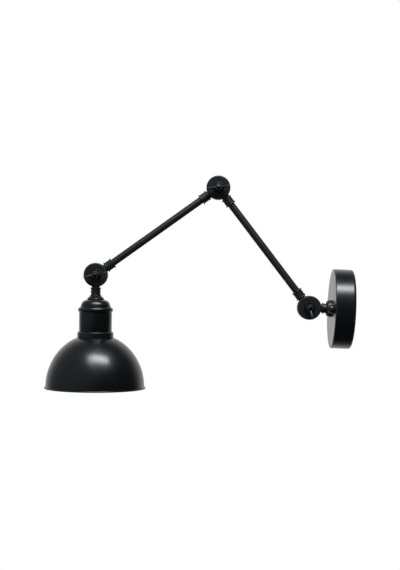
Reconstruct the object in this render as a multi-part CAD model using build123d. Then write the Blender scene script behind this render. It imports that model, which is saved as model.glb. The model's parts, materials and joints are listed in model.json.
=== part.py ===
from build123d import *
import math
import os

# Articulating wall lamp with a spun dome shade. Millimetres and degrees throughout.
#
# Frame: the origin is the centre of the mounting's wall side. The wall is the plane x = 0, the
# lamp reaches out along -X, +Z is up, and all three swivels turn about axes along Y.
# Headings are counted in the X-Z plane, from +X towards +Z.
#
# Each swivel is a pair of cast knuckles: a half at the back (+Y) and a half at the front (-Y),
# with a friction ring between them, a pivot screw through both, and a wing nut in front.
# The lower arm and the head end in front halves, the plate and the upper arm in back halves,
# so the arms stay in one plane whatever the pose.

# ------------------------------------------------------------------ driving dimensions

# Pose at rest
lower_arm_heading = 129.4
upper_arm_heading = 217.7
head_heading = 271.8
wall_wing_heading = 105.2
elbow_wing_heading = 9.7
head_wing_heading = 15.5

# Fits
running_gap = 0.05        # radial, a shaft or a thread in its hole
free_gap = 0.2            # radial, a screw or a cover in a clearance hole

# Wall plate and its hub
plate_d = 120.0
plate_depth = 30.5
plate_wall = 1.2
plate_edge_r = 1.6
plate_back_r = 4.0        # outside, where the wall side is rolled in
plate_back_land = 2.0     # flat that rests on the wall, on its diameter
pivot_reach = 64.4        # wall to the first pivot
rosette_d = 25.6
rosette_height = 8.2
rosette_skirt = 1.6       # straight part at the rosette's foot
rosette_mouth_land = 0.7  # flat ring round the rosette's mouth
rosette_mouth_gap = 0.15  # radial, round the collar's lip

# Bracket behind the plate
bracket_margin = 10.0     # from the strip's ends to the plate's outside
bracket_width = 22.0
bracket_thick = 2.5
tab_length = 25.0         # above the strip
tab_width = 26.0
tab_corner_r = 3.0
strip_end_flat = 0.02     # the strip's ends are all but half circles
stud_margin = 10.0        # from the studs to the strip's ends
stud_d = 4.0
wall_slot_inset = 13.0    # from the studs to the slots' middles
wall_slot_length = 12.0
wall_slot_width = 5.0
earth_screw_inset = 8.0   # from the slot's end
fixing_recess = 0.3       # studs and screws stop this far short of the wall
lock_nut_flats = 7.0
lock_nut_height = 3.2
earth_head_d = 7.2
earth_head_height = 2.4
earth_head_edge = 0.8
earth_slot = 1.0
dome_nut_d = 12.8
dome_nut_barrel = 4.0
dome_nut_thread = 7.2

# Terminal block
block_height = 16.0
block_width = 30.0
block_depth = 11.0
block_corner = 1.2
block_inset = 2.0         # from the tab's end
terminal_pitch = 10.0
terminal_lift = 0.5       # of the bores above the block's middle
terminal_bore_d = 5.2
sleeve_bore_d = 3.4
sleeve_length = 14.0
clamp_screw_d = 3.0
clamp_screw_spread = 8.0
clamp_screw_rise = 0.5    # its lower end above the bore's axis
clamp_screw_sunk = 0.6    # its top below the block's face
clamp_slot = 0.6
block_screw_head_d = 5.2
block_screw_head_height = 2.2
block_screw_sunk = 3.0

# Arms
arm_length = 228.0        # pivot to pivot
tube_d = 11.0
tube_wall = 1.0

# Knuckles
disc_d = 36.4
half_thick = 7.5
friction_thick = 1.0
disc_edge = 0.9
boss_d = 16.0
chamber_d = 27.2
chamber_depth = 5.0
neck_d = 12.3
collar_start = 19.3       # pivot to the first lip
collar_end = 31.9         # pivot to the collar's end face
collar_d = 14.6
lip_d = 17.0
lip_thick = 1.5
lip_chamfer = 0.3
socket_floor = 22.0       # pivot to the bottom of the tube socket
wire_bore_d = 4.0
wire_bore_offset = 2.8
sweep_gap = 0.5           # round the other half's disc
friction_inset = 1.5      # of the friction ring's edge, on its diameter

# Pivot screws, washers and wing nuts
screw_d = 6.0
screw_head_d = 12.8
screw_head_seat = 3.0     # depth of the head's seat in the back half
screw_head_edge = 2.6
screw_head_crown = 1.6
screw_head_flat = 0.6     # share of the head's radius that its crown leaves flat
screw_slot = 1.2
screw_proud = 1.9         # beyond the wing nut's hub
screw_tip_chamfer = 0.6
washer_d = 17.0
washer_thick = 1.6
washer_edge = 0.4
wing_hub_base_d = 12.8
wing_hub_land = 1.2       # straight part at the hub's foot
wing_hub_top_d = 9.8
wing_hub_edge = 0.8
wing_hub_height = 8.0
wing_span = 36.0
wing_thick = 2.4
wing_rise = 13.0          # base to the tips of the wings
wing_tip_r = 2.0

# Threaded nipples
nipple_d = 10.0
nipple_bore_d = 7.0
nipple_nut_flats = 14.0
nipple_nut_height = 4.0
nipple_washer_d = 15.0
canopy_washer_d = 21.0
nipple_washer_thick = 1.0
nipple_end_proud = 1.8

# Lamp holder: heights run along the head, from the head pivot
cap_wall = 1.2
cap_shoulder_d = 25.4
cap_shoulder_top = 35.4
cap_shoulder_foot = 37.8
cap_d = 44.8
cap_foot = 48.0
cap_lip_d = 46.6
cap_lip_thick = 0.9
cap_skirt = 5.0
holder_d = 49.5
holder_wall = 1.2
bead_r = 4.1
bead_seat = 0.6           # the bead's bore runs this far past the cap's skirt
holder_end = 92.9
shade_collar_d = 54.8
shade_collar_top = 86.0
shade_collar_edge = 1.6
shade_seat = 95.4

# Shade: half an oval, cut flat on top, with its mouth rolled out into a bead
shade_r = 74.8
shade_rise = 80.5
shade_mouth = 169.8
shade_wall = 1.2
shade_bead_r = 1.15
shade_bead_out = 1.0      # of the bead's centre from the wall's outside
shade_bead_start = -130.0  # angle where the wall runs into the bead
shade_shoulder_angle = 40.0  # where the wall's two arcs meet, above the mouth

# Screw socket
socket_room = 4.05        # between the socket and the holder's wall
socket_wall_d = 28.2      # bore round the brass shell
socket_cap_cone = 50.0    # where the cap's cone ends
socket_joint = 56.0
socket_cavity_wall = 3.5
socket_deck = 60.0
socket_seat = 68.0
socket_well = 65.7        # floor of the contact's well, below the shell's seat
socket_well_d = 20.0
socket_mouth = 103.0
socket_cap_land = 4.0     # flat ring on top of the socket's cap
socket_cap_wall = 2.0
shell_wall = 0.6
shell_bore_d = 26.8
shell_length = 26.0
shell_floor_hole_d = 21.0
contact_rivet_d = 3.0
contact_button_d = 9.0
contact_thick = 1.0
contact_width = 6.0
contact_length = 17.0
contact_head_thick = 1.0
contact_button_edge = 0.5
shade_ring_d = 56.0
shade_ring_height = 4.5
shade_ring_flange = 1.8
shade_ring_sleeve = 3.0   # wall of the sleeve
shade_ring_grips = 12
shade_ring_grip_d = 3.2

# ------------------------------------------------------------------ derived places

plate_face = plate_depth
bracket_length = plate_d - 2 * bracket_margin
stud_spacing = bracket_length - 2 * stud_margin
wall_slot_spacing = stud_spacing - 2 * wall_slot_inset
earth_screw_offset = (wall_slot_spacing - wall_slot_length) / 2 - earth_screw_inset
socket_d = holder_d - 2 * holder_wall - 2 * socket_room
socket_cavity_d = socket_d - 2 * socket_cavity_wall
inner_face = plate_depth - plate_wall
terminal_axis = block_depth / 2 + terminal_lift
half_gap = friction_thick / 2
outer_face = half_gap + half_thick
BASE = (Align.CENTER, Align.CENTER, Align.MIN)


# ------------------------------------------------------------------ helpers

def heading_frame(pivot, heading):
    """Frame of a member that leaves a pivot: Z along the member, Y along the hinge axis."""
    turn = math.radians(heading)
    along = (math.cos(turn), 0, math.sin(turn))
    across = (math.sin(turn), 0, -math.cos(turn))
    return Plane(origin=pivot, x_dir=across, z_dir=along).location


def step_along(pivot, heading, distance):
    """The point at a distance from a pivot along a heading."""
    turn = math.radians(heading)
    return (pivot[0] + distance * math.cos(turn), 0, pivot[2] + distance * math.sin(turn))


def rod(diameter, low, high):
    """A round bar about Z."""
    return Pos(0, 0, low) * Cylinder(diameter / 2, high - low, align=BASE)


def ring(bore, diameter, low, high):
    """A plain ring or tube about Z."""
    return rod(diameter, low, high) - rod(bore, low, high)


def spun(*outline):
    """A turned or spun piece: closed outline pieces in (radius, height), swept round Z."""
    return revolve(Plane.XZ * make_face(Curve() + list(outline)), Axis.Z)


def path(*points):
    """A stretch of straight lines."""
    return Polyline(*points)


def hex_nut(flats, bore, low, high):
    """A hexagon nut about Z with its corners turned off."""
    height = high - low
    prism = extrude(RegularPolygon(flats / 2, 6, major_radius=False), height)
    corner = flats / math.sqrt(3)
    drop = (corner - flats / 2) * math.tan(math.radians(30))
    blank = chamfer(rod(2 * corner, 0, height).edges().filter_by(GeomType.CIRCLE), drop, corner - flats / 2)
    return Pos(0, 0, low) * (prism & blank) - rod(bore, low, high)


def round_slot(length, width, low, high):
    """A cutter for a slot along Y with round ends."""
    return Pos(0, 0, low) * extrude(Rot(0, 0, 90) * SlotOverall(length, width), high - low)


# ------------------------------------------------------------------ wall plate, in its own frame
# Z runs out from the wall, X is up and Y is across.

def make_canopy():
    """Drawn cup with a tight front edge, its back edge rolled in, and holes in its face."""
    cup = rod(plate_d, 0, plate_depth)
    cup = fillet(cup.edges().sort_by(Axis.Z)[-1], plate_edge_r)
    cup = fillet(cup.edges().sort_by(Axis.Z)[0], plate_back_r)
    inside = rod(plate_d - 2 * plate_wall, plate_wall, inner_face)
    inside = fillet(inside.edges().sort_by(Axis.Z)[0], plate_back_r - plate_wall)
    cup -= inside + rod(plate_d - 2 * plate_back_r - plate_back_land, 0, plate_wall)
    cup -= rod(nipple_d + free_gap, inner_face, plate_face)
    for side in (-1, 1):
        cup -= Pos(0, side * stud_spacing / 2, 0) * rod(stud_d + 2 * free_gap, inner_face, plate_face)
    return cup


def make_wall_bracket():
    """Flat steel strip with slots for the wall screws and a tab for the terminal block."""
    strip = RectangleRounded(bracket_width, bracket_length, (bracket_width - strip_end_flat) / 2)
    tab_reach = bracket_width / 2 + tab_length
    tab = Pos(tab_reach / 2, 0) * RectangleRounded(tab_reach, tab_width, tab_corner_r)
    plate = extrude(strip + tab, bracket_thick)
    for side in (-1, 1):
        slot = round_slot(wall_slot_length, wall_slot_width, 0, bracket_thick)
        plate -= Pos(0, side * wall_slot_spacing / 2, 0) * slot
        plate -= Pos(0, side * stud_spacing / 2, 0) * rod(stud_d + 2 * running_gap, 0, bracket_thick)
    plate -= Pos(0, -earth_screw_offset, 0) * rod(stud_d + 2 * running_gap, 0, bracket_thick)
    plate -= block_fixing_place() * rod(clamp_screw_d, 0, bracket_thick)
    return plate


def block_place():
    """Centre of the terminal block on the bracket's tab."""
    return Pos(bracket_width / 2 + tab_length - block_height / 2 - block_inset, 0, bracket_thick)


def block_fixing_place():
    """Axis of the screw that holds the terminal block, between two of its ways."""
    centre = block_place().position
    return Pos(centre.X, terminal_pitch / 2, 0)


def make_studs():
    """Two threaded studs from the bracket into the dome nuts."""
    stud = rod(stud_d, fixing_recess, plate_face + dome_nut_thread - 2 * free_gap)
    return [Pos(0, side * stud_spacing / 2, 0) * stud for side in (-1, 1)]


def make_stud_lock_nuts():
    """Two nuts that lock the studs on the bracket."""
    nut = hex_nut(lock_nut_flats, stud_d + 2 * running_gap, bracket_thick, bracket_thick + lock_nut_height)
    return [Pos(0, side * stud_spacing / 2, 0) * nut for side in (-1, 1)]


def make_dome_nuts():
    """Two round cap nuts that hold the plate on its studs."""
    radius = dome_nut_d / 2
    shoulder = plate_face + dome_nut_barrel
    outline = path((0, shoulder + radius), (0, plate_face), (radius, plate_face), (radius, shoulder))
    dome = CenterArc((0, shoulder), radius, 0, 90)
    nut = spun(outline, dome) - rod(stud_d + 2 * running_gap, plate_face, plate_face + dome_nut_thread)
    return [Pos(0, side * stud_spacing / 2, 0) * nut for side in (-1, 1)]


def make_rosette():
    """Domed ring on the plate; the knuckle's collar seats on its floor."""
    floor = pivot_reach - collar_end
    mouth = lip_d / 2 + rosette_mouth_gap
    land = mouth + rosette_mouth_land
    foot = plate_face + rosette_skirt
    top = plate_face + rosette_height
    edge = rosette_d / 2
    bore = nipple_d / 2 + free_gap
    dome = EllipticalCenterArc((land, foot), edge - land, top - foot, 0, arc_size=90)
    wall = path((land, top), (mouth, top), (mouth, floor), (bore, floor), (bore, plate_face),
                (edge, plate_face), (edge, foot))
    return spun(dome, wall)


def make_canopy_nipple():
    """Threaded tube that carries the first knuckle and lets the wires through."""
    end = inner_face - nipple_washer_thick - nipple_nut_height - nipple_end_proud
    return ring(nipple_bore_d, nipple_d, end, pivot_reach - socket_floor)


def make_canopy_washer():
    """Washer behind the plate's face."""
    return ring(nipple_d + free_gap, canopy_washer_d, inner_face - nipple_washer_thick, inner_face)


def make_canopy_nut():
    """Nut that pulls the knuckle and the rosette on to the plate."""
    top = inner_face - nipple_washer_thick
    return hex_nut(nipple_nut_flats, nipple_d + 2 * running_gap, top - nipple_nut_height, top)


def sideways(length, diameter):
    """A bar along X, centred on the terminal axis height."""
    return Pos(0, 0, terminal_axis) * Rot(0, 90, 0) * Cylinder(diameter / 2, length)


def clamp_screw_places():
    """Axes of the six clamp screws."""
    return [Pos(rise, way * terminal_pitch, 0)
            for way in (-1, 0, 1) for rise in (-clamp_screw_spread / 2, clamp_screw_spread / 2)]


def make_terminal_block():
    """Three-way block with a chimney over each clamp screw."""
    body = Box(block_height, block_width, block_depth, align=BASE)
    body = chamfer(body.edges().filter_by(Axis.Z), block_corner)
    for way in (-1, 0, 1):
        body -= Pos(0, way * terminal_pitch, 0) * sideways(block_height, terminal_bore_d)
    for place in clamp_screw_places():
        body -= place * rod(clamp_screw_d + free_gap, terminal_axis, block_depth)
    fixing = Pos(0, terminal_pitch / 2, 0)
    body -= fixing * rod(clamp_screw_d, 0, block_depth)
    body -= fixing * rod(block_screw_head_d + 2 * free_gap, block_depth - block_screw_sunk, block_depth)
    return block_place() * body


def make_terminal_sleeves():
    """Three brass sleeves, each tapped for two clamp screws."""
    outer = terminal_bore_d - 2 * running_gap
    sleeves = []
    for way in (-1, 0, 1):
        tube = sideways(sleeve_length, outer) - sideways(sleeve_length, sleeve_bore_d)
        for rise in (-clamp_screw_spread / 2, clamp_screw_spread / 2):
            tube -= Pos(rise, 0, 0) * rod(clamp_screw_d + 2 * running_gap, terminal_axis, block_depth)
        sleeves.append(block_place() * Pos(0, way * terminal_pitch, 0) * tube)
    return sleeves


def make_terminal_screws():
    """Six slotted clamp screws."""
    top = block_depth - clamp_screw_sunk
    screw = rod(clamp_screw_d, terminal_axis + clamp_screw_rise, top)
    screw -= Pos(0, 0, top) * Box(clamp_slot, clamp_screw_d, 2 * clamp_slot)
    return [block_place() * place * screw for place in clamp_screw_places()]


def make_block_screw():
    """Screw that holds the terminal block on the tab."""
    seat = bracket_thick + block_depth - block_screw_sunk
    shank = rod(clamp_screw_d - 2 * running_gap, fixing_recess, seat)
    return block_fixing_place() * (shank + rod(block_screw_head_d, seat, seat + block_screw_head_height))


def make_earth_screw():
    """Pan-head screw for the earth wire, in the bracket."""
    shank = rod(stud_d, fixing_recess, bracket_thick)
    top = bracket_thick + earth_head_height
    head = chamfer(rod(earth_head_d, bracket_thick, top).edges().sort_by(Axis.Z)[-1], earth_head_edge)
    head -= Pos(0, 0, top) * Box(earth_slot, earth_head_d, 2 * earth_slot)
    return Pos(0, -earth_screw_offset, 0) * (shank + head)


# ------------------------------------------------------------------ knuckles and their hardware

def collar(socket_bore):
    """Neck and two-lipped collar about Z, with the socket for a tube or a nipple."""
    neck = neck_d / 2
    body = collar_d / 2
    lip = lip_d / 2
    cut = lip_chamfer
    first = collar_start + lip_thick
    last = collar_end - lip_thick
    bore = socket_bore / 2
    outline = path(
        (0, 0), (neck, 0), (neck, collar_start), (lip - cut, collar_start),
        (lip, collar_start + cut), (lip, first - cut), (lip - cut, first), (body, first),
        (body, last), (lip - cut, last), (lip, last + cut), (lip, collar_end - cut),
        (lip - cut, collar_end), (bore, collar_end), (bore, socket_floor), (0, socket_floor), (0, 0))
    return spun(outline)


def knuckle(is_front, socket_bore):
    """One cast half: pivot at the origin, collar along +Z, disc on the +Y or the -Y side.

    A ring-shaped chamber in the mating face leads the wires round the screw's boss, and a bore
    through the neck joins it to the tube. The neck is cut back where the other disc sweeps past.
    """
    to_back = Rot(-90, 0, 0)
    disc = rod(disc_d, half_gap, outer_face)
    disc = chamfer(disc.edges().filter_by(GeomType.CIRCLE).sort_by(Axis.Z)[-1], disc_edge)
    sweep = rod(disc_d + 2 * sweep_gap, -disc_d, half_gap)
    half = to_back * disc + (collar(socket_bore) - to_back * sweep)
    half -= to_back * ring(boss_d, chamber_d, half_gap, half_gap + chamber_depth)
    half -= to_back * rod(screw_d + 2 * running_gap, half_gap, outer_face)
    half -= Pos(0, wire_bore_offset, 0) * rod(wire_bore_d, (boss_d + chamber_d) / 4, socket_floor)
    if is_front:
        return mirror(half, Plane.XZ)
    return half - to_back * rod(screw_head_d + free_gap, outer_face - screw_head_seat, outer_face)


def friction_ring():
    """Fibre ring between the two discs, outside their wire chambers."""
    return ring(chamber_d + 2 * free_gap, disc_d - friction_inset, -half_gap, half_gap)


def pivot_screw():
    """Slotted raised-head screw, its head let into the back half, its end towards +Z."""
    seat = screw_head_seat - outer_face
    edge = seat - screw_head_edge
    crown = edge - screw_head_crown
    radius = screw_head_d / 2
    tip = outer_face + washer_thick + wing_hub_height + screw_proud
    head = spun(path((0, crown), (0, seat), (radius, seat), (radius, edge),
                     (screw_head_flat * radius, crown), (0, crown)))
    head -= Pos(0, 0, crown) * Box(screw_head_d, screw_slot, 2 * screw_slot)
    return head + chamfer(rod(screw_d, seat, tip).edges().sort_by(Axis.Z)[-1], screw_tip_chamfer)


def flat_washer():
    """Washer between the front half and the wing nut."""
    blank = ring(screw_d + 2 * free_gap, washer_d, outer_face, outer_face + washer_thick)
    return chamfer(blank.edges().sort_by(Axis.Z)[-2:].sort_by(SortBy.LENGTH)[-1], washer_edge)


def wing():
    """One wing: a leaf in the X-Z plane that leans outwards, with a round tip."""
    reach = wing_span / 2
    hub = wing_hub_top_d / 2
    root_low = (0.6 * hub, wing_hub_edge)
    knee = (0.62 * reach, 0.22 * wing_rise)
    outermost = (reach, 0.56 * wing_rise)
    tip_outer = (0.96 * reach, wing_rise)
    tip_inner = (0.7 * reach, 0.95 * wing_rise)
    root_high = (0.8 * hub, 0.92 * wing_hub_height)
    leaf = Polygon(root_low, knee, outermost, tip_outer, tip_inner, root_high, align=None)
    leaf = fillet(leaf.vertices().sort_by(Axis.X)[-3:], wing_tip_r)
    return extrude(Plane.XZ * leaf, wing_thick / 2, both=True)


def wing_nut():
    """Cast wing nut about Z, standing on the washer, its wings along X."""
    base = wing_hub_base_d / 2
    top = wing_hub_top_d / 2
    hub = spun(path((0, 0), (base, 0), (base, wing_hub_land), (top, wing_hub_height - wing_hub_edge),
                    (top - wing_hub_edge, wing_hub_height), (0, wing_hub_height), (0, 0)))
    nut = hub + wing() + Rot(0, 0, 180) * wing()
    nut -= rod(screw_d + 2 * running_gap, 0, wing_rise)
    return Pos(0, 0, outer_face + washer_thick) * nut


def swivel(name, pivot, halves, wing_heading):
    """All pieces of one swivel. halves gives, for back and front, a node name, heading and bore."""
    (back_node, back_heading, back_bore), (front_node, front_heading, front_bore) = halves
    to_front = Pos(*pivot) * Rot(90, 0, 0)
    return {
        back_node: heading_frame(pivot, back_heading) * knuckle(False, back_bore),
        front_node: heading_frame(pivot, front_heading) * knuckle(True, front_bore),
        f"{name}_friction_ring": to_front * friction_ring(),
        f"{name}_pivot_screw": to_front * pivot_screw(),
        f"{name}_flat_washer": to_front * flat_washer(),
        f"{name}_wing_nut": to_front * Rot(0, 0, wing_heading) * wing_nut(),
    }


def arm_tube():
    """Plain tube between the sockets of its two knuckles, pivot at the origin."""
    return ring(tube_d - 2 * tube_wall, tube_d, socket_floor, arm_length - socket_floor)


# ------------------------------------------------------------------ head, in its own frame
# Z runs from the head pivot down to the shade's mouth.

def make_holder_cap():
    """Spun cap: a coned shoulder under the knuckle, then a dome, a lip and a skirt."""
    hole = nipple_d / 2 + free_gap
    neck = lip_d / 2
    shoulder = cap_shoulder_d / 2
    edge = cap_d / 2
    lip = cap_lip_d / 2
    wall = cap_wall
    lip_top = cap_foot
    lip_foot = cap_foot + cap_lip_thick
    skirt_end = lip_foot + cap_skirt
    rise = cap_foot - cap_shoulder_foot
    outside = path((hole, collar_end), (neck, collar_end), (shoulder, cap_shoulder_top),
                   (shoulder, cap_shoulder_foot))
    dome_r = edge - shoulder
    dome = CenterArc((shoulder, cap_shoulder_foot + dome_r), dome_r, -90, 90)
    rim = path(dome @ 1, (edge, lip_top), (lip, lip_top), (lip, lip_foot), (edge, lip_foot),
               (edge, skirt_end), (edge - wall, skirt_end), (edge - wall, cap_foot))
    inside = path((edge - wall, cap_foot), (edge - 2.5 * wall, cap_foot - rise / 2),
                  (shoulder - wall, cap_shoulder_foot + wall), (shoulder - wall, cap_shoulder_top + wall / 2),
                  (neck, collar_end + wall), (hole, collar_end + wall), (hole, collar_end))
    return spun(outside, dome, rim, inside)


def make_holder_body():
    """Cylinder of the lamp holder with a round bead at its top, under the cap's lip."""
    outer = holder_d / 2
    inner = outer - holder_wall
    mouth = cap_d / 2 + running_gap
    top = cap_foot + cap_lip_thick
    turn = math.degrees(math.acos((outer - mouth) / bead_r))
    bead = CenterArc((mouth, top + bead_r), bead_r, -90, 90 + turn)
    bead_foot = top + 2 * bead_r
    tube = path(bead @ 1, (outer, holder_end), (inner, holder_end), (inner, bead_foot),
                (mouth, top + cap_skirt + bead_seat), (mouth, top))
    return spun(bead, tube)


def make_shade_collar():
    """Ring round the foot of the holder, with the seat that the shade is clamped against."""
    blank = rod(shade_collar_d, shade_collar_top, shade_seat)
    blank = chamfer(blank.edges().sort_by(Axis.Z)[0], shade_collar_edge)
    blank -= rod(holder_d + 2 * running_gap, shade_collar_top, holder_end)
    return blank - rod(socket_d + 4 * free_gap, holder_end, shade_seat)


def shade_curve(radius, rise, top):
    """Half of an oval, mouth to seat, as two tangent arcs; returns them from the seat down.

    The lower arc has the oval's own radius of curvature at the mouth. The upper one leaves it
    at the shoulder and meets the oval again at the seat's height.
    """
    lower_r = rise ** 2 / radius
    lower_centre = Vector(radius - lower_r, shade_mouth)
    lower = CenterArc(lower_centre, lower_r, -shade_shoulder_angle, shade_shoulder_angle)
    seat_edge = Vector(radius * math.sqrt(1 - ((shade_mouth - top) / rise) ** 2), top)
    inward = (lower_centre - lower @ 0).normalized()
    chord = seat_edge - lower @ 0
    upper_r = chord.length ** 2 / (2 * chord.dot(inward))
    upper_centre = lower @ 0 + inward * upper_r
    spoke = seat_edge - upper_centre
    start = math.degrees(math.atan2(spoke.Y, spoke.X))
    return CenterArc(upper_centre, upper_r, start, -shade_shoulder_angle - start), lower


def make_shade():
    """Spun dome: a flat seat on top, an oval wall, and a mouth rolled outwards into a bead."""
    hole = socket_d / 2 + 2 * free_gap
    crown = shade_seat + shade_wall
    outer_upper, outer_lower = shade_curve(shade_r, shade_rise, shade_seat)
    inner_upper, inner_lower = shade_curve(shade_r - shade_wall, shade_rise - shade_wall, crown)
    seat = path(inner_upper @ 0, (hole, crown), (hole, shade_seat), outer_upper @ 0)
    bead = CenterArc((shade_r + shade_bead_out, shade_mouth + shade_bead_r), shade_bead_r,
                     shade_bead_start, 90 - shade_bead_start)
    inner_foot = path(bead @ 1, (shade_r - shade_wall / 2, shade_mouth + 2 * shade_bead_r - shade_wall / 2),
                      (shade_r - shade_wall, shade_mouth + shade_bead_r), inner_lower @ 1)
    return spun(seat, outer_upper, outer_lower, path(outer_lower @ 1, bead @ 0), bead, inner_foot,
                inner_lower, inner_upper)


def make_shade_ring():
    """Flanged ring on the socket's outer thread; it clamps the shade against its seat."""
    low = shade_seat + shade_wall
    bore = socket_d + 2 * running_gap
    sleeve = ring(bore, bore + 2 * shade_ring_sleeve, low, low + shade_ring_height)
    flange = ring(bore, shade_ring_d, low, low + shade_ring_flange)
    grip = Pos(shade_ring_d / 2, 0, 0) * rod(shade_ring_grip_d, low, low + shade_ring_flange)
    grips = [Rot(0, 0, 360 / shade_ring_grips * step) * grip for step in range(shade_ring_grips)]
    return sleeve + (flange - grips)


def make_holder_nipple():
    """Threaded tube from the knuckle's collar through the cap into the socket's cap."""
    return ring(nipple_bore_d, nipple_d, socket_floor, nut_foot() + 2 * nipple_nut_height)


def make_holder_washer():
    """Washer inside the holder's cap."""
    low = collar_end + cap_wall
    return ring(nipple_d + free_gap, nipple_washer_d, low, low + nipple_washer_thick)


def nut_foot():
    """Height of the holder nut's lower face, where the socket's cap comes up against it."""
    return collar_end + cap_wall + nipple_washer_thick + nipple_nut_height


def make_holder_nut():
    """Nut that holds the cap on the nipple."""
    foot = nut_foot()
    return hex_nut(nipple_nut_flats, nipple_d + 2 * running_gap, foot - nipple_nut_height, foot)


def make_socket_cap():
    """Moulded cone that screws on to the nipple and covers the socket's terminals."""
    top = nut_foot()
    bore = nipple_d / 2 + running_gap
    thread_end = top + 2 * nipple_nut_height
    cavity = socket_cavity_d / 2
    outer = socket_d / 2
    return spun(path((bore, top), (bore + socket_cap_land, top), (outer, socket_cap_cone),
                     (outer, socket_joint), (cavity, socket_joint),
                     (cavity, socket_cap_cone + socket_cap_wall / 2),
                     (bore + socket_cap_wall, thread_end), (bore, thread_end), (bore, top)))


def make_socket_body():
    """Moulded socket: terminal space above a thick deck, a contact well and shell space below."""
    outer = socket_d / 2
    cavity = socket_cavity_d / 2
    bore = socket_wall_d / 2
    well = socket_well_d / 2
    rivet = contact_rivet_d / 2 + running_gap
    return spun(path((rivet, socket_deck), (cavity, socket_deck), (cavity, socket_joint),
                     (outer, socket_joint), (outer, socket_mouth), (bore, socket_mouth),
                     (bore, socket_seat), (well, socket_seat), (well, socket_well),
                     (rivet, socket_well), (rivet, socket_deck)))


def make_screw_shell():
    """Thin brass cup with an open floor; the lamp cap screws into it."""
    outer = shell_bore_d + 2 * shell_wall
    cup = rod(outer, socket_seat, socket_seat + shell_length)
    cup -= rod(shell_bore_d, socket_seat + shell_wall, socket_seat + shell_length)
    return cup - rod(shell_floor_hole_d, socket_seat, socket_seat + shell_wall)


def make_centre_contact():
    """Sprung contact strip with a button, riveted through the deck."""
    rivet = rod(contact_rivet_d, socket_deck - contact_head_thick, socket_well)
    head = rod(2 * contact_rivet_d, socket_deck - contact_head_thick, socket_deck)
    strip = Pos(0, 0, socket_well) * Box(contact_length, contact_width, contact_thick, align=BASE)
    button = rod(contact_button_d, socket_well, socket_well + 2 * contact_thick)
    button = chamfer(button.edges().sort_by(Axis.Z)[-1], contact_button_edge)
    return rivet + head + strip + button


# ------------------------------------------------------------------ assembly

def plate_nodes():
    """Everything that is screwed to the wall, up to the rosette."""
    wall_frame = heading_frame((0, 0, 0), 180)
    makers = {
        "canopy": make_canopy, "wall_bracket": make_wall_bracket, "fixing_studs": make_studs,
        "stud_lock_nuts": make_stud_lock_nuts, "dome_nuts": make_dome_nuts,
        "hub_rosette": make_rosette, "canopy_nipple": make_canopy_nipple,
        "canopy_washer": make_canopy_washer, "canopy_nut": make_canopy_nut,
        "terminal_block": make_terminal_block, "terminal_sleeves": make_terminal_sleeves,
        "terminal_screws": make_terminal_screws, "block_screw": make_block_screw,
        "earth_screw": make_earth_screw,
    }
    return {node: place(wall_frame, make()) for node, make in makers.items()}


def head_nodes(pivot):
    """The lamp holder, its socket and the shade."""
    frame = heading_frame(pivot, head_heading)
    makers = {
        "holder_nipple": make_holder_nipple, "holder_washer": make_holder_washer,
        "holder_nut": make_holder_nut, "holder_cap": make_holder_cap,
        "holder_body": make_holder_body, "shade_collar": make_shade_collar,
        "shade": make_shade, "shade_ring": make_shade_ring, "socket_cap": make_socket_cap,
        "socket_body": make_socket_body, "screw_shell": make_screw_shell,
        "centre_contact": make_centre_contact,
    }
    return {node: place(frame, make()) for node, make in makers.items()}


def place(frame, shape):
    """Move one solid, or a group of alike solids, into a frame."""
    if isinstance(shape, list):
        return Compound(children=[frame * solid for solid in shape])
    return frame * shape


def build():
    """All nodes by name, in the lamp's own frame."""
    wall_pivot = (-pivot_reach, 0, 0)
    elbow_pivot = step_along(wall_pivot, lower_arm_heading, arm_length)
    head_pivot = step_along(elbow_pivot, upper_arm_heading, arm_length)
    tube_bore = tube_d + 2 * running_gap
    nipple_socket = nipple_d + 2 * running_gap

    nodes = plate_nodes()
    nodes |= swivel("wall", wall_pivot, (("wall_knuckle_fixed", 0, nipple_socket),
                                         ("wall_knuckle_arm", lower_arm_heading, tube_bore)),
                    wall_wing_heading)
    nodes["lower_tube"] = heading_frame(wall_pivot, lower_arm_heading) * arm_tube()
    nodes |= swivel("elbow", elbow_pivot, (("elbow_knuckle_upper", upper_arm_heading, tube_bore),
                                           ("elbow_knuckle_lower", lower_arm_heading + 180, tube_bore)),
                    elbow_wing_heading)
    nodes["upper_tube"] = heading_frame(elbow_pivot, upper_arm_heading) * arm_tube()
    nodes |= swivel("head", head_pivot, (("head_knuckle_arm", upper_arm_heading + 180, tube_bore),
                                         ("head_knuckle_holder", head_heading, nipple_socket)),
                    head_wing_heading)
    nodes |= head_nodes(head_pivot)
    return nodes


if __name__ == "__main__":
    os.makedirs("parts", exist_ok=True)
    for node, shape in build().items():
        export_step(shape, f"parts/{node}.step")
        print(node, "volume", round(shape.volume, 1))
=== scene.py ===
# %% [markdown]
# # A black wall lamp, from its frame to its finish
# The lamp has a round wall plate, two tube arms on cast swivels with wing nuts, and a spun dome
# shade. Its construction comes ready made: every piece is a node of the frame, at its real size and
# place, and it moves with a body. This lesson gives the pieces that show a smooth surface, and gives
# every piece its finish. Nothing here moves or resizes the frame.

# %% Load the frame
import json
import math

import bmesh
import bpy
import numpy as np
from mathutils import Matrix

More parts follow.
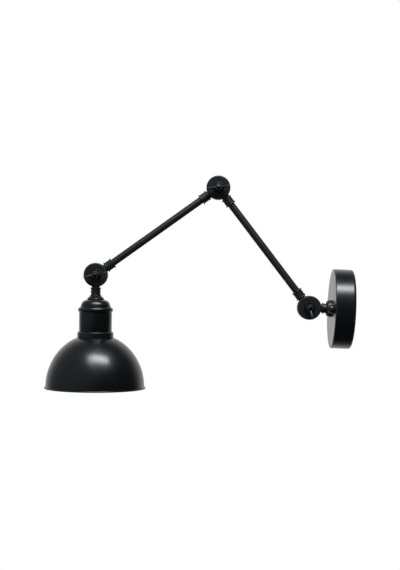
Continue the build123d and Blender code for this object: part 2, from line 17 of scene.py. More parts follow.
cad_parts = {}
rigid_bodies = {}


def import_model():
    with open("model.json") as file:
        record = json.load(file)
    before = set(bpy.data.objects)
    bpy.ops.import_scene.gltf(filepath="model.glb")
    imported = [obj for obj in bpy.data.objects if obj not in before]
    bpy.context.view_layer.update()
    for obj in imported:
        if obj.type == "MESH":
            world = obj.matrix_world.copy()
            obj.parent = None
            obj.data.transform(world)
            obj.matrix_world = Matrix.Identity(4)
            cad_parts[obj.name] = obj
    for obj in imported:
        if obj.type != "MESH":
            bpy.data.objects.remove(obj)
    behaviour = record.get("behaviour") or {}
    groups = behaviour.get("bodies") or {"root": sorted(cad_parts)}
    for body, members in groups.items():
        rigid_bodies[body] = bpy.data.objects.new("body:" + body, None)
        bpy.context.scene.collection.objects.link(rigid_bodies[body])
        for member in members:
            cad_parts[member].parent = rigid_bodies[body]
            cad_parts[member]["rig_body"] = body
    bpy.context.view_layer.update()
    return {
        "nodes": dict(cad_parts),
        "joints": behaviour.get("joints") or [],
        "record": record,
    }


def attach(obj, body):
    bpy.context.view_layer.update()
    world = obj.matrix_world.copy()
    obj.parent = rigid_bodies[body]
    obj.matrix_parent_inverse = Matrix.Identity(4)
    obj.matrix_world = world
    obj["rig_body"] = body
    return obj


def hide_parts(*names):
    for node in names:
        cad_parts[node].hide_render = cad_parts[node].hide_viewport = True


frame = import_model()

MM = 0.001

# %% [markdown]
# ## Where the members lie
# The swivels turn about axes along Y. A member that leaves a swivel has a heading in the upright
# X-Z plane, counted from +X towards +Z. The swivels' places are the frame's joints, so the headings
# are worked out and not typed in. A member's own frame has Z along it, Y along the hinge.

# %% Swivels and headings
joint_at = {joint["name"]: np.array(joint["pos_m"]) / MM for joint in frame["joints"]}
mount_at = {mount["name"]: np.array(mount["pos_m"]) / MM for mount in frame["record"]["mounts"]}
swivels = {name: joint_at[f"{name}_pivot"] for name in ("wall", "elbow", "head")}
wall, elbow, head = swivels.values()


def heading_of(start, end):
    """The direction from one point to another, in radians from +X towards +Z."""
    return math.atan2(end[2] - start[2], end[0] - start[0])


def axes_frame(origin, x_axis, y_axis, z_axis):
    """A 4 by 4 matrix from three unit axes and an origin, in millimetres."""
    matrix = np.eye(4)
    matrix[:3, :3] = np.column_stack([x_axis, y_axis, z_axis])
    matrix[:3, 3] = origin
    return matrix


def member_frame(pivot, heading):
    """Z along the heading, Y along the hinge axis, X across."""
    c, s = math.cos(heading), math.sin(heading)
    return axes_frame(pivot, (s, 0, -c), (0, 1, 0), (c, 0, s))


def hinge_frame(pivot, side, heading=0.0):
    """Z along the hinge axis, towards the back for side 1 and the front for side -1."""
    c, s = math.cos(heading), math.sin(heading)
    return axes_frame(pivot, (c, 0, s), (side * s, 0, -side * c), (0, side, 0))


def spans(node, matrix):
    """A node's largest radius round a frame's Z, and its lowest and highest point along it."""
    mesh = frame["nodes"][node].data
    points = np.empty(len(mesh.vertices) * 3, np.float32)
    mesh.vertices.foreach_get("co", points)
    local = (points.reshape(-1, 3) / MM - matrix[:3, 3]) @ matrix[:3, :3]
    return np.hypot(local[:, 0], local[:, 1]).max(), local[:, 2].min(), local[:, 2].max()


lower_heading = heading_of(wall, elbow)
upper_heading = heading_of(elbow, head)
head_heading = heading_of(head, mount_at["lamp_socket"])
print("headings:", [round(math.degrees(h) % 360, 1) for h in (lower_heading, upper_heading, head_heading)])

# %% [markdown]
# ## The camera
# The picture was taken level and nearly square to the arms' plane, with a long lens. The lamp leans
# a little in it, so the camera rolls and the lamp stays plumb. Blender's lens length goes by the
# sensor's long side, which here stands for the 570 pixels of the picture's height.

# %% Camera
FOCAL_PIXELS = 1180.0
LONG_SIDE_PIXELS = 570
SENSOR_WIDTH = 36.0
CAMERA_ROLL = math.radians(2.3)
CAMERA_AT = (-0.2311, -1.790, 0.0278)

camera_data = bpy.data.cameras.new("camera")
camera_data.sensor_width = SENSOR_WIDTH
camera_data.lens = FOCAL_PIXELS / LONG_SIDE_PIXELS * SENSOR_WIDTH
camera = bpy.data.objects.new("camera", camera_data)
bpy.context.scene.collection.objects.link(camera)
roll_c, roll_s = math.cos(CAMERA_ROLL), math.sin(CAMERA_ROLL)
camera_axes = axes_frame(CAMERA_AT, (roll_c, 0, roll_s), (-roll_s, 0, roll_c), (0, -1, 0))
camera.matrix_world = Matrix(camera_axes)
bpy.context.scene.camera = camera
print("lens", round(camera_data.lens, 1), "mm")

# %% [markdown]
# ## Surfaces from numbers
# Nearly every piece of a lamp is turned, spun or drawn, so it is one outline swept round an axis. A
# screw modifier could do that too, but worked out in numpy the same grid can also carry a thread or a
# cut. A shell is a set of points and faces, and a piece is one or more shells in one mesh. Each point
# also keeps two numbers for the finish: `edge`, which is 1 on a rounded outer corner, where paint
# wears first, and `along`, the length along the outline, which follows marks left by the lathe. A finished
# piece takes its body from the node that it stands in for.

# %% Shells
SHARP_ANGLE = math.radians(40)
slot_of = {part["node"]: part["material_slot"] for part in frame["record"]["subparts"]}


def outward(points, faces):
    """Turns the faces over if the shell's volume, summed as signed tetrahedra, is negative."""
    fan = np.concatenate([faces[:, [0, 1, 2]], faces[:, [0, 2, 3]]])
    a, b, c = points[fan[:, 0]], points[fan[:, 1]], points[fan[:, 2]]
    volume = np.einsum("ij,ij->i", a, np.cross(b, c)).sum()
    return faces if volume > 0 else faces[:, ::-1]


def grid_shell(points, edge, along, look=None, pole_first=False, pole_last=False):
    """A closed shell from a grid of points, rows by columns, whose columns run round.

    With poles, the first and last rows shrink to one point each. Without them the last row joins
    the first one. look gives each row of faces a material number.
    """
    rows, columns = points.shape[:2]
    if look is None:
        look = np.zeros(rows, int)
    at = np.arange(rows * columns).reshape(rows, columns)
    if pole_first:
        at[0] = at[0, 0]
    if pole_last:
        at[-1] = at[-1, 0]
    if not (pole_first or pole_last):
        at = np.vstack([at, at[:1]])
    near, far = at[:-1], at[1:]
    faces = np.stack([near, np.roll(near, -1, 1), np.roll(far, -1, 1), far], -1).reshape(-1, 4)
    flat = points.reshape(-1, 3)
    return {"points": flat, "faces": outward(flat, faces), "edge": np.repeat(edge, columns),
            "along": np.repeat(along, columns), "look": np.repeat(look[:len(near)], columns)}


def placed(shell, matrix):
    """The shell moved into a frame: each point p becomes R p + origin."""
    return {**shell, "points": shell["points"] @ matrix[:3, :3].T + matrix[:3, 3]}


def shifted(shell, y=0.0, z=0.0):
    """The shell moved along its own Y and Z."""
    return {**shell, "points": shell["points"] + (0.0, y, z)}


def stand_in(node, mesh):
    """Puts the mesh in a node's place: it rides on the node's body."""
    made = bpy.data.objects.new(f"{node}_surface", mesh)
    bpy.context.scene.collection.objects.link(made)
    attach(made, frame["nodes"][node]["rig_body"])
    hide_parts(node)


def piece(node, shells, *materials):
    """One finished piece, from its shells, that stands in for a node."""
    starts = np.cumsum([0] + [len(shell["points"]) for shell in shells])
    points = np.concatenate([shell["points"] for shell in shells]) * MM
    faces = np.concatenate([shell["faces"] + start for shell, start in zip(shells, starts)])
    look = np.concatenate([shell["look"] for shell in shells])
    corners = [list(dict.fromkeys(face)) for face in faces.tolist()]
    used = np.unique(faces)
    renumber = np.zeros(len(points), int)
    renumber[used] = np.arange(len(used))
    mesh = bpy.data.meshes.new(f"{node}_surface")
    mesh.from_pydata(points[used].tolist(), [], [[int(renumber[i]) for i in face] for face in corners])
    for mark in ("edge", "along"):
        values = np.concatenate([shell[mark] for shell in shells])[used].astype(np.float32)
        mesh.attributes.new(mark, "FLOAT", "POINT").data.foreach_set("value", values)
    mesh.polygons.foreach_set("material_index", look.astype(np.int32))
    mesh.polygons.foreach_set("use_smooth", np.ones(len(corners), bool))
    mesh.set_sharp_from_angle(angle=SHARP_ANGLE)
    for material in materials:
        mesh.materials.append(material)
    stand_in(node, mesh)
    print(f"{node}: {len(used)} points, {len(corners)} faces")


# %% [markdown]
# A turned outline has no truly sharp corners. Each corner is cut back and bridged by a small arc,
# and one more point just past the arc keeps the flat sides flat when the mesh is shaded smooth. A
# bevel modifier would round the corners as well, but here every corner gets its own radius.

# %% Outlines
LEAST_GAP = 0.01


def rows_of(radius, height, edge=0.0):
    """Outline rows of radius, height and edge, each a whole column or one number for all rows."""
    return np.column_stack(np.broadcast_arrays(radius, height, edge))


def round_outline(corners, radii, steps=5):
    """A closed outline with round corners, as rows of radius, height and edge.

    At a corner of radius r the sides are cut back by r / tan(h), where h is half the angle between
    them. The arc about its centre is start * sin((1 - t) w) + end * sin(t w), over sin w. The extra
    point past an arc lies half a radius on, or 0.4 of the side that is left where that is less.
    """
    corners = np.asarray(corners, float)
    back = np.roll(corners, 1, 0) - corners
    on = np.roll(corners, -1, 0) - corners
    side = np.linalg.norm(on, axis=1)
    back /= np.roll(side, 1)[:, None]
    on /= side[:, None]
    half = 0.5 * np.arccos(np.clip((back * on).sum(1), -1, 1))
    cut = np.asarray(radii) / np.tan(half)
    spare = side - cut - np.roll(cut, -1)
    area = np.cross(corners, np.roll(corners, -1, 0)).sum()
    rows = []
    for i, radius in enumerate(radii):
        if radius == 0:
            rows.append([[*corners[i], 0.0]])
            continue
        middle = (back[i] + on[i]) / np.linalg.norm(back[i] + on[i])
        centre = corners[i] + middle * radius / math.sin(half[i])
        start, end = (corners[i] + way * cut[i] - centre for way in (back[i], on[i]))
        w = math.pi - 2 * half[i]
        t = np.linspace(0, 1, steps + 1)[:, None]
        arc = centre + (np.sin((1 - t) * w) * start + np.sin(t * w) * end) / math.sin(w)
        worn = float(np.cross(on[i], back[i]) * area > 0)
        before, after = (min(0.5 * radius, 0.4 * gap) for gap in (spare[i - 1], spare[i]))
        if before > LEAST_GAP:
            rows.append([[*(corners[i] + back[i] * (cut[i] + before)), 0.0]])
        rows.append(np.column_stack([arc, np.full(steps + 1, worn)]))
        if after > LEAST_GAP:
            rows.append([[*(corners[i] + on[i] * (cut[i] + after)), 0.0]])
    return np.concatenate(rows)


def turned(outline, around=96, relief=None, look=None):
    """An outline of (radius, height, edge) swept round Z; relief(rows, angle) adds to the radius.

    The point at angle a is (r cos a, r sin a, height). An outline that starts and ends on the axis
    gets poles, and any other one closes on itself.
    """
    radius, height, edge = outline.T
    angle = np.linspace(0, 2 * math.pi, around, endpoint=False)
    r = radius[:, None] + (relief(outline, angle) if relief else np.zeros((1, around)))
    grid = np.stack([r * np.cos(angle), r * np.sin(angle), np.broadcast_to(height[:, None], r.shape)], -1)
    step = np.linalg.norm(np.diff(outline[:, :2], axis=0), axis=1)
    along = np.concatenate([[0], np.cumsum(step)])
    on_axis = radius[0] == 0 and radius[-1] == 0
    return grid_shell(grid, edge, along, look, on_axis, on_axis)


def arc_rows(centre, radius, start, end, count, edge=0.0):
    """Outline rows on a circle's arc: centre + radius * (cos a, sin a), with a in degrees."""
    turn = np.radians(np.linspace(start, end, count))
    return rows_of(centre[0] + radius * np.cos(turn), centre[1] + radius * np.sin(turn), edge)


def column(radius, low, high, step):
    """Closely spaced outline rows up a straight side, for a side that carries a thread."""
    return rows_of(radius, np.linspace(low, high, max(2, int(abs(high - low) / step) + 1)))


# %% [markdown]
# ## Paint
# The lamp is powder coated: a satin black with a very fine pebbled skin. A flat colour would look
# like plastic, so the paint has three layers of detail. Its skin is a shallow bump from fine noise.
# Its gloss wanders a little, as a coat of uneven thickness does. On outer corners the coat is thin
# and handled, so there it is a little lighter and smoother. Constant values go straight on the
# shader's sockets.

# %% Node helpers
def link(tree, *pairs):
    """Joins each pair of an output socket and an input socket."""
    for start, end in pairs:
        tree.links.new(start, end)


def feed(tree, socket, value):
    """Joins a socket to the input, or sets the input to a plain value."""
    if isinstance(value, bpy.types.NodeSocket):
        link(tree, (value, socket))
    else:
        socket.default_value = value


def new_material(name):
    """An empty node material with its shader; returns the material, its tree and the shader."""
    material = bpy.data.materials.new(name)
    material.use_nodes = True
    tree = material.node_tree
    return material, tree, tree.nodes["Principled BSDF"]


def add_node(tree, kind, **settings):
    """A node with its properties and its inputs' values set by name."""
    node = tree.nodes.new(kind)
    for key, value in settings.items():
        if key in node.inputs:
            node.inputs[key].default_value = value
        else:
            setattr(node, key, value)
    return node


def noise_at(tree, coordinates, scale, detail=3.0):
    """Noise of about 1 / scale metres on the given coordinates."""
    noise = add_node(tree, "ShaderNodeTexNoise", Scale=scale, Detail=detail)
    link(tree, (coordinates, noise.inputs["Vector"]))
    return noise.outputs["Fac"]


def spread(tree, value, low, high, start=0.3, end=0.7, **settings):
    """Maps a value from start..end, by default a noise's usual range, on to low..high."""
    reach = add_node(tree, "ShaderNodeMapRange", **settings)
    for socket, number in zip(("From Min", "From Max", "To Min", "To Max"), (start, end, low, high)):
        reach.inputs[socket].default_value = number
    link(tree, (value, reach.inputs["Value"]))
    return reach.outputs["Result"]


def mixed(tree, share, first, second):
    """A colour mix; share and either colour may be a socket or a value."""
    mix = add_node(tree, "ShaderNodeMix", data_type="RGBA")
    for socket, value in zip(("Factor", "A", "B"), (share, first, second)):
        feed(tree, mix.inputs[socket], value)
    return mix.outputs["Result"]


def attribute(tree, name):
    """The socket of a number that the mesh keeps at each point."""
    return add_node(tree, "ShaderNodeAttribute", attribute_name=name).outputs["Fac"]


def times(tree, first, second):
    """The product of two sockets, or of a socket and a number."""
    product = add_node(tree, "ShaderNodeMath", operation="MULTIPLY")
    feed(tree, product.inputs[0], first)
    feed(tree, product.inputs[1], second)
    return product.outputs[0]


def bumped(tree, shader, height, depth):
    """Gives the shader a bump of the height socket, depth metres deep."""
    bump = add_node(tree, "ShaderNodeBump", Strength=1.0, Distance=depth)
    link(tree, (height, bump.inputs["Height"]), (bump.outputs["Normal"], shader.inputs["Normal"]))


# %% Paint
PAINT_BLACK = (0.0034, 0.0040, 0.0043)
PAINT_THIN = (0.018, 0.019, 0.019, 1)
GRAIN_LIFT, GRAIN_FINER = 1.7, 2.3
GLOSS_CLOUD, GLOSS_WANDER, RUB_SCALE, RING_SCALE = 45.0, 0.03, 260.0, 1.6


def paint(name, roughness, skin_scale, skin_depth, painted_fill_lift=1.0, wear=0.5, rings=0.0):
    """Powder coat: pebbled skin, wandering gloss, thin corners and, on spun pieces, faint rings.

    The skin is noise of skin_scale to the metre, skin_depth metres deep, to which rings add noise along the
    outline. The lighter multiple of the black is painted fill light: it gives a lighter copy of the same
    paint, in place of light from the front. On a corner the thin coat's share is edge * noise, up to wear.
    """
    material, tree, shader = new_material(name)
    place = add_node(tree, "ShaderNodeTexCoord").outputs["Object"]
    cloud = noise_at(tree, place, GLOSS_CLOUD)
    grain = noise_at(tree, place, skin_scale * GRAIN_FINER, 2.0)
    rubbed = times(tree, attribute(tree, "edge"), spread(tree, noise_at(tree, place, RUB_SCALE), 0.0, wear))
    dark, light = ((*(k * painted_fill_lift * share for share in PAINT_BLACK), 1.0) for k in (1.0, GRAIN_LIFT))
    tone = mixed(tree, spread(tree, grain, 0.0, 0.25), dark, light)
    link(tree, (mixed(tree, rubbed, tone, PAINT_THIN), shader.inputs["Base Color"]),
         (spread(tree, cloud, roughness - GLOSS_WANDER, roughness + GLOSS_WANDER),
          shader.inputs["Roughness"]))
    skin = noise_at(tree, place, skin_scale, 2.0)
    if rings:
        line = add_node(tree, "ShaderNodeTexNoise", noise_dimensions="1D", Scale=RING_SCALE, Detail=1.0)
        ringed = times(tree, line.outputs["Fac"], rings)
        total = add_node(tree, "ShaderNodeMath", operation="ADD")
        link(tree, (attribute(tree, "along"), line.inputs["W"]), (skin, total.inputs[0]),
             (ringed, total.inputs[1]))
        skin = total.outputs[0]
    bumped(tree, shader, skin, skin_depth)
    return material


# The tubes, castings and wing nuts have the same paint as the spun pieces, made lighter by its multiple:
# painted fill light from the front.
tube_paint = paint("satin_black_on_tube", 0.45, 1500.0, 0.000012, painted_fill_lift=2.1)
spun_paint = paint("satin_black_on_spun_metal", 0.29, 1300.0, 0.000008, rings=0.5)
cast_paint = paint("satin_black_on_castings", 0.42, 900.0, 0.00003, painted_fill_lift=1.9, wear=0.7)
nut_paint = paint("satin_black_on_wing_nuts", 0.50, 1100.0, 0.00002, painted_fill_lift=2.4, wear=0.8)
print("paints:", [p.name for p in (tube_paint, spun_paint, cast_paint, nut_paint)])

# %% [markdown]
# The shade's inside reflects the light, so it is painted white there, as reflectors of this kind
# are. The pivot screws and the washers under the wing nuts are blackened steel. Behind the plate
# the hardware is plain zinc-plated steel, and what carries current is brass. A metal's scratches
# are noise stretched along Y, which costs nothing in the mesh.

# %% Metals, mouldings and fibre
METAL_STRETCH, METAL_CLOUD, SCRATCH_DEPTH = 0.12, 120.0, 0.000006
MOTTLE_CLOUD = 90.0


def bare_metal(name, colour, dull, roughness, scratch_scale):
    """Polished or plated metal: dull patches, and fine scratches as stretched noise."""
    material, tree, shader = new_material(name)
    place = add_node(tree, "ShaderNodeTexCoord").outputs["Object"]
    stretch = add_node(tree, "ShaderNodeMapping")
    stretch.inputs["Scale"].default_value = (1.0, METAL_STRETCH, 1.0)
    link(tree, (place, stretch.inputs["Vector"]))
    scratch = noise_at(tree, stretch.outputs["Vector"], scratch_scale, 4.0)
    cloud = noise_at(tree, place, METAL_CLOUD)
    link(tree, (mixed(tree, spread(tree, cloud, 0.0, 1.0), colour, dull), shader.inputs["Base Color"]),
         (spread(tree, scratch, roughness - 0.07, roughness + 0.1), shader.inputs["Roughness"]))
    bumped(tree, shader, scratch, SCRATCH_DEPTH)
    shader.inputs["Metallic"].default_value = 1.0
    return material


def soft_solid(name, colour, shade_of_it, roughness, grain_scale, grain_depth):
    """A moulded or pressed material: a slight mottle and a fine grain."""
    material, tree, shader = new_material(name)
    place = add_node(tree, "ShaderNodeTexCoord").outputs["Object"]
    cloud = noise_at(tree, place, MOTTLE_CLOUD)
    grain = noise_at(tree, place, grain_scale, 4.0)
    link(tree, (mixed(tree, spread(tree, cloud, 0.0, 1.0), colour, shade_of_it), shader.inputs["Base Color"]),
         (spread(tree, grain, roughness - 0.05, roughness + 0.05), shader.inputs["Roughness"]))
    bumped(tree, shader, grain, grain_depth)
    return material


black_steel = bare_metal("blackened_steel", (0.048, 0.050, 0.052, 1), (0.030, 0.031, 0.032, 1), 0.34, 1600.0)
zinc = bare_metal("zinc_plated_steel", (0.62, 0.63, 0.65, 1), (0.50, 0.51, 0.52, 1), 0.30, 1400.0)
brass = bare_metal("brass", (0.72, 0.55, 0.26, 1), (0.58, 0.42, 0.20, 1), 0.28, 1500.0)
inner_white = soft_solid("white_inside_paint", (0.82, 0.82, 0.79, 1), (0.78, 0.78, 0.75, 1), 0.45,
                         grain_scale=1200.0, grain_depth=0.00001)
moulding = soft_solid("moulded_off_white", (0.82, 0.81, 0.77, 1), (0.76, 0.75, 0.70, 1), 0.40,
                      grain_scale=1500.0, grain_depth=0.000008)
fibre = soft_solid("pressed_fibre", (0.10, 0.075, 0.055, 1), (0.05, 0.038, 0.03, 1), 0.75,
                   grain_scale=900.0, grain_depth=0.00003)
print("other finishes:", [m.name for m in (black_steel, zinc, brass, inner_white, moulding, fibre)])

# %% [markdown]
# ## The shade
# The shade is spun from sheet over a wooden former: half of an oval, open below, cut flat on top
# where the holder clamps it. Its mouth is rolled into a small bead that stiffens the edge. A sphere
# with its scale changed would give neither wall nor bead, so the wall is one closed outline: the
# outer oval, the roll, the inner oval and the flat seat.

# %% Shade
SHADE_R = 74.8
SHADE_RISE = 80.5
SHADE_MOUTH = 169.8
SHADE_WALL = 1.2
SHADE_HOLE = 20.2
ROLL_R = 1.15
ROLL_START, TURN_IN_START = -130, 98
OUTER_ROWS, INNER_ROWS, ROW_CROWDING = 56, 48, 0.8

head_frame = member_frame(head, head_heading)
roll_reach, SHADE_SEAT, SHADE_END = spans("shade", head_frame)
print(f"shade: {roll_reach:.1f} mm to the roll, {SHADE_SEAT:.1f} to {SHADE_END:.1f} mm from its swivel")


def oval(radius, rise, height):
    """The oval's radius at a height: radius * sqrt(1 - ((mouth - height) / rise)^2)."""
    return radius * np.sqrt(1 - ((SHADE_MOUTH - height) / rise) ** 2)


def shade_outline():
    """Outer oval, roll, inner oval and seat, with each row's material number.

    Row k of the outer oval lies (k / n) ^ 0.8 of the way down.
    """
    down = SHADE_SEAT + (SHADE_MOUTH - SHADE_SEAT) * np.linspace(0, 1, OUTER_ROWS) ** ROW_CROWDING
    outer = rows_of(oval(SHADE_R, SHADE_RISE, down), down)
    middle = (roll_reach - ROLL_R, SHADE_END - ROLL_R)
    roll = arc_rows(middle, ROLL_R, ROLL_START, 90, 22, 1.0)
    turn_in = middle[0] - SHADE_R + SHADE_WALL
    inner_turn = arc_rows((middle[0], SHADE_END - turn_in), turn_in, TURN_IN_START, 180, 8)
    up = np.linspace(SHADE_MOUTH - 0.4, SHADE_SEAT + SHADE_WALL, INNER_ROWS)
    inner = rows_of(oval(SHADE_R - SHADE_WALL, SHADE_RISE - SHADE_WALL, up), up)
    hole = np.array([[SHADE_HOLE, SHADE_SEAT + SHADE_WALL, 0], [SHADE_HOLE, SHADE_SEAT, 0]])
    outline = np.concatenate([outer, roll, inner_turn, inner, hole])
    look = np.zeros(len(outline), int)
    look[len(outer) + len(roll):len(outline) - len(hole)] = 1
    return outline, look


shade_line, shade_look = shade_outline()
shade = turned(shade_line, around=160, look=shade_look)
piece("shade", [placed(shade, head_frame)], spun_paint, inner_white)

# %% [markdown]
# ## The lamp holder
# Three spun pieces stack above the shade: a cap with a coned shoulder and a dome, a cylinder with a
# round bead under the cap's lip, and a ring that carries the shade. Each is a thin wall, so each
# outline goes down the outside and back up the inside.

# %% Holder
NIPPLE_HOLE = 5.2
LIP_R = 8.5
CAP_WALL = 1.2
SHOULDER_R, SHOULDER_TOP, SHOULDER_FOOT = 12.7, 35.4, 37.8
CAP_R, CAP_LIP_THICK, CAP_SKIRT = 22.4, 0.9, 5.0
HOLDER_WALL, HOLDER_R, BEAD_R = 1.2, 24.75, 4.1
SHADE_COLLAR_EDGE, SHADE_COLLAR_BORE = 1.6, 20.3
SLIP_FIT = 0.05

CAP_LIP_R, COLLAR_END, cap_end = spans("holder_cap", head_frame)
CAP_FOOT = cap_end - CAP_SKIRT - CAP_LIP_THICK
_, _, HOLDER_END = spans("holder_body", head_frame)
SHADE_COLLAR_R, SHADE_COLLAR_TOP, _ = spans("shade_collar", head_frame)
print(f"holder: cap from {COLLAR_END:.1f}, cylinder to {HOLDER_END:.1f}, ring from {SHADE_COLLAR_TOP:.1f} mm")


def cap_outline():
    """Cone, shoulder with round edges, quarter-round dome, lip and skirt, then the inside.

    The inside is the dome's own curve, lower by the wall and narrower by it towards the rim.
    """
    top = round_outline([(NIPPLE_HOLE, COLLAR_END), (LIP_R, COLLAR_END), (SHOULDER_R, SHOULDER_TOP),
                         (SHOULDER_R, SHOULDER_FOOT), (NIPPLE_HOLE, SHOULDER_FOOT)], [0, 0.5, 1.1, 0, 0])[:-2]
    dome_r = CAP_R - SHOULDER_R
    dome = arc_rows((SHOULDER_R, SHOULDER_FOOT + dome_r), dome_r, -88, 0, 22)
    dome[:, 1] = SHOULDER_FOOT + (dome[:, 1] - SHOULDER_FOOT) * (CAP_FOOT - SHOULDER_FOOT) / dome_r
    lip_end = CAP_FOOT + CAP_LIP_THICK
    lip = arc_rows((CAP_R, CAP_FOOT + CAP_LIP_THICK / 2), CAP_LIP_THICK / 2, -90, 90, 9, 1.0)
    lip[1:-1, 0] += CAP_LIP_R - CAP_R - CAP_LIP_THICK / 2
    skirt = np.array([[CAP_R, lip_end + 0.1, 0], [CAP_R, lip_end + CAP_SKIRT, 0],
                      [CAP_R - CAP_WALL, lip_end + CAP_SKIRT, 0], [CAP_R - CAP_WALL, CAP_FOOT, 0]])
    inside = dome[::-3].copy()
    inside[:, 0] -= CAP_WALL * np.clip((inside[:, 0] - SHOULDER_R) / dome_r + 0.2, 0, 1)
    inside[:, 1] += CAP_WALL
    crown = np.array([[SHOULDER_R - CAP_WALL, SHOULDER_TOP + CAP_WALL / 2, 0],
                      [LIP_R, COLLAR_END + CAP_WALL, 0], [NIPPLE_HOLE, COLLAR_END + CAP_WALL, 0]])
    return np.concatenate([top, dome, lip, skirt, inside[1:], crown])


def holder_outline():
    """Round bead, then the straight wall with a turned-in foot, then the inside."""
    mouth = CAP_R + SLIP_FIT
    top = CAP_FOOT + CAP_LIP_THICK
    finish = math.degrees(math.acos((HOLDER_R - mouth) / BEAD_R))
    bead = arc_rows((mouth, top + BEAD_R), BEAD_R, -90, finish, 26)
    foot = np.array([[HOLDER_R, bead[-1, 1] + 0.6, 0], [HOLDER_R, HOLDER_END - 0.4, 0],
                     [HOLDER_R - 0.3, HOLDER_END, 1], [HOLDER_R - HOLDER_WALL, HOLDER_END, 0],
                     [HOLDER_R - HOLDER_WALL, top + 2 * BEAD_R, 0], [mouth, top + CAP_SKIRT + 0.6, 0]])
    return np.concatenate([bead, foot])


collar_bore = HOLDER_R + SLIP_FIT
shade_collar = round_outline(
    [(SHADE_COLLAR_BORE, SHADE_SEAT), (SHADE_COLLAR_BORE, HOLDER_END), (collar_bore, HOLDER_END),
     (collar_bore, SHADE_COLLAR_TOP),
     (SHADE_COLLAR_R - SHADE_COLLAR_EDGE, SHADE_COLLAR_TOP),
     (SHADE_COLLAR_R, SHADE_COLLAR_TOP + SHADE_COLLAR_EDGE), (SHADE_COLLAR_R, SHADE_SEAT)],
    [0, 0, 0, 0.15, 0.5, 0.8, 0.35])
for node, outline in (("holder_cap", cap_outline()), ("holder_body", holder_outline()),
                      ("shade_collar", shade_collar)):
    piece(node, [placed(turned(outline, 128), head_frame)], spun_paint)

# %% [markdown]
# ## The wall plate
# The plate is a cup pressed from one disc of sheet steel, with a tight front edge and a back edge
# that is rolled in to lie on the wall. A solid disc would be simpler, but the open back shows
# wherever the lamp is seen off its wall. So the outline runs over the front and back up the inside.

# %% Plate
PLATE_WALL, PLATE_EDGE = 1.2, 1.6
PLATE_BACK_ROUND, PLATE_BACK_LAND = 4.0, 1.0

plate_frame = member_frame((0, 0, 0), math.pi)
PLATE_R, _, PLATE_DEPTH = spans("canopy", plate_frame)
print(f"plate: {2 * PLATE_R:.1f} mm across and {PLATE_DEPTH:.1f} deep")
back_open = PLATE_R - PLATE_BACK_ROUND - PLATE_BACK_LAND
inner_round = PLATE_BACK_ROUND - PLATE_WALL
plate_line = round_outline(
    [(0, PLATE_DEPTH - PLATE_WALL), (PLATE_R - PLATE_WALL, PLATE_DEPTH - PLATE_WALL),
     (PLATE_R - PLATE_WALL, PLATE_WALL), (back_open, PLATE_WALL), (back_open, 0), (PLATE_R, 0),
     (PLATE_R, PLATE_DEPTH), (0, PLATE_DEPTH)],
    [0, 0.5, inner_round, 0.2, 0.2, PLATE_BACK_ROUND, PLATE_EDGE, 0], steps=8)
piece("canopy", [placed(turned(plate_line, 192), plate_frame)], spun_paint)

# %% [markdown]
# The first swivel seats in a domed rosette, cast and turned, which hides the hole in the plate. Its
# dome is a quarter of an oval, and its mouth leaves a hair's gap round the swivel's collar.

# %% Rosette
ROSETTE_SKIRT, ROSETTE_LAND, ROSETTE_GAP, ROSETTE_BREAK = 1.6, 0.7, 0.15, 0.2

ROSETTE_R, _, rosette_top = spans("hub_rosette", plate_frame)
rosette_floor = -wall[0] - COLLAR_END
print(f"rosette: {2 * ROSETTE_R:.1f} mm across, to {rosette_top:.1f} mm from the wall")


def rosette_outline():
    """Dome, skirt, nipple hole, seat and mouth; the dome is (land + a cos t, skirt + b sin t)."""
    mouth = LIP_R + ROSETTE_GAP
    land = mouth + ROSETTE_LAND
    skirt = PLATE_DEPTH + ROSETTE_SKIRT
    t = np.radians(np.linspace(90, 0, 20))
    dome = rows_of(land + (ROSETTE_R - land) * np.cos(t),
                   skirt + (rosette_top - PLATE_DEPTH - ROSETTE_SKIRT) * np.sin(t))
    rest = [[ROSETTE_R, PLATE_DEPTH, 0], [NIPPLE_HOLE, PLATE_DEPTH, 0], [NIPPLE_HOLE, rosette_floor, 0],
            [mouth, rosette_floor, 0], [mouth, rosette_top - ROSETTE_BREAK, 0],
            [mouth + ROSETTE_BREAK, rosette_top, 1]]
    return np.concatenate([dome, rest])


piece("hub_rosette", [placed(turned(rosette_outline(), 96), plate_frame)], cast_paint)

# %% [markdown]
# Two round cap nuts on the bracket's studs hold the plate. Each is half a ball on a short barrel, so
# it is turned too. One shell serves both, moved to each side of the middle.

# %% Cap nuts
STUD_REACH = 40.0
DOME_NUT_R, DOME_NUT_BARREL = 6.4, 4.0


def at_studs(shell):
    """The shell at both studs, left and right of the plate's middle."""
    return [placed(shifted(shell, y=side * STUD_REACH), plate_frame) for side in (-1, 1)]


shoulder = PLATE_DEPTH + DOME_NUT_BARREL
nut_line = np.concatenate([[[0, shoulder + DOME_NUT_R, 0]],
                           arc_rows((0, shoulder), DOME_NUT_R, 90, 0, 18)[1:],
                           [[DOME_NUT_R, PLATE_DEPTH + 0.5, 0], [DOME_NUT_R - 0.4, PLATE_DEPTH, 1],
                            [0, PLATE_DEPTH, 0]]])
piece("dome_nuts", at_studs(turned(nut_line, 64)), cast_paint)

# %% [markdown]
# ## Arms
# The arms are plain steel tube. Each end sits in the blind socket of a casting, so only the outside
# shows.

# %% Tubes
TUBE_R, TUBE_WALL, SOCKET_FLOOR = 5.5, 1.0, 22.0
for node, pivot, far in (("lower_tube", wall, elbow), ("upper_tube", elbow, head)):
    reach = float(np.linalg.norm(far - pivot))
    ends = (SOCKET_FLOOR, reach - SOCKET_FLOOR)
    tube = round_outline([(TUBE_R - TUBE_WALL, ends[0]), (TUBE_R, ends[0]), (TUBE_R, ends[1]),
                          (TUBE_R - TUBE_WALL, ends[1])], [0, 0.3, 0.3, 0])
    piece(node, [placed(turned(tube, 64), member_frame(pivot, heading_of(pivot, far)))], tube_paint)

